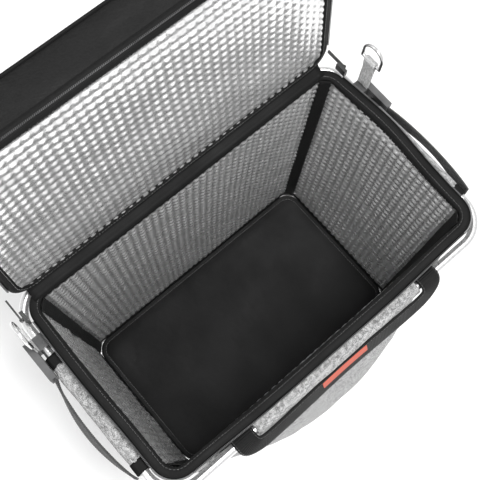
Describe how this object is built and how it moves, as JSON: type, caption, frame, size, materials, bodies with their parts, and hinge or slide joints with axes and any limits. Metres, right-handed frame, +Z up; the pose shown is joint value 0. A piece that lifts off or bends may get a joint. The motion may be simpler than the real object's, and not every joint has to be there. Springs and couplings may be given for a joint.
{
  "type": "insulated cooler bag",
  "caption": "Soft insulated cooler bag with an embossed foil lining, a thick zip-round lid standing open, outside pockets and webbing grips.",
  "frame": {"origin": "centre of the base's bottom face", "axes": "+Z up, +X to the bag's right, -Y towards its front, where the label is; the lid is hinged at +Y"},
  "size_m": [0.4438, 0.3369, 0.5307],
  "materials": {
    "heather_fabric": "fine heather weave, matt",
    "foam": "closed-cell foam",
    "foil": "embossed metallised film, shiny",
    "binding": "woven binding tape, matt",
    "zip_tape": "woven tape, matt",
    "zip_coil": "nylon coil",
    "satin_fabric": "coated polyester, satin",
    "board": "covered board, satin",
    "tube": "satin anodised",
    "webbing": "ribbed webbing",
    "strap_webbing": "flat webbing",
    "loop_webbing": "light grey webbing",
    "label": "smooth, blank",
    "bracket_plastic": "moulded, fine grain",
    "chrome": "polished",
    "slider_metal": "satin black enamel"
  },
  "bodies": {
    "bag": {"base_foam": "foam", "base_liner": "foil", "base_panel": "satin_fabric", "body_zip_coil": "zip_coil", "body_zip_tape": "zip_tape", "corner_bracket_left": "bracket_plastic", "corner_bracket_right": "bracket_plastic", "corner_strips_back": "binding", "corner_strips_front": "binding", "foam_back": "foam", "foam_front": "foam", "foam_left": "foam", "foam_right": "foam", "frame_tube": "tube", "front_pocket": "heather_fabric", "hinge_strip": "binding", "liner_back": "foil", "liner_front": "foil", "liner_left": "foil", "liner_right": "foil", "rim_binding": "binding", "ring_loop_left": "loop_webbing", "ring_loop_right": "loop_webbing", "shell_back": "heather_fabric", "shell_front": "heather_fabric", "shell_left": "heather_fabric", "shell_right": "heather_fabric", "side_pocket_left": "heather_fabric", "side_pocket_right": "heather_fabric", "side_strap_left": "strap_webbing", "side_strap_right": "strap_webbing", "sleeve_back": "heather_fabric", "sleeve_front": "heather_fabric", "sleeve_left": "heather_fabric", "sleeve_right": "heather_fabric", "sleeve_tapes_left": "binding", "sleeve_tapes_right": "binding"},
    "lid": {"lid_binding": "binding", "lid_foam": "foam", "lid_foil": "foil", "lid_gusset_back": "satin_fabric", "lid_gusset_front": "satin_fabric", "lid_gusset_left": "satin_fabric", "lid_gusset_right": "satin_fabric", "lid_padding": "foam", "lid_piping": "binding", "lid_top": "heather_fabric", "lid_zip_coil": "zip_coil", "lid_zip_tape": "zip_tape"},
    "board": {"floor_board": "board"},
    "front_grip": {"handle_front": "webbing", "handle_label": "label"},
    "back_grip": {"handle_back": "webbing"},
    "slider_right": {"zip_slider_right": "slider_metal"},
    "slider_left": {"zip_slider_left": "slider_metal"},
    "pull_right": {"zip_pull_right": "slider_metal"},
    "pull_left": {"zip_pull_left": "slider_metal"},
    "ring_right": {"d_ring_right": "chrome"},
    "ring_left": {"d_ring_left": "chrome"}
  },
  "joints": [
    {"name": "lid_hinge", "type": "hinge", "parent": "bag", "child": "lid", "pos_m": [0, 0.111, 0.30825], "axis": [1, 0, 0], "range_deg": [-8, 97]},
    {"name": "board_lift", "type": "slide", "parent": "bag", "child": "board", "axis": [0, 0, 1], "range_m": [0, 0.25]},
    {"name": "front_grip_swing", "type": "hinge", "parent": "bag", "child": "front_grip", "pos_m": [0, -0.1192, 0.29], "axis": [-1, 0, 0], "range_deg": [-18, 90]},
    {"name": "back_grip_swing", "type": "hinge", "parent": "bag", "child": "back_grip", "pos_m": [0, 0.1192, 0.29], "axis": [1, 0, 0], "range_deg": [-15, 15]},
    {"name": "slider_right_run", "type": "slide", "parent": "bag", "child": "slider_right", "axis": [0, -1, 0], "range_m": [0, 0.155]},
    {"name": "slider_left_run", "type": "slide", "parent": "bag", "child": "slider_left", "axis": [0, -1, 0], "range_m": [0, 0.155]},
    {"name": "pull_right_flip", "type": "hinge", "parent": "slider_right", "child": "pull_right", "pos_m": [0.2033, 0.094, 0.3084], "axis": [0, 0, -1], "range_deg": [0, 110]},
    {"name": "pull_left_flip", "type": "hinge", "parent": "slider_left", "child": "pull_left", "pos_m": [-0.2033, 0.094, 0.3084], "axis": [0, 0, 1], "range_deg": [0, 110]},
    {"name": "ring_right_swing", "type": "hinge", "parent": "bag", "child": "ring_right", "pos_m": [0.2092, 0.07, 0.3459], "axis": [0, 1, 0], "range_deg": [-10, 100]},
    {"name": "ring_left_swing", "type": "hinge", "parent": "bag", "child": "ring_left", "pos_m": [-0.2092, 0.07, 0.3459], "axis": [0, -1, 0], "range_deg": [-10, 100]}
  ]
}
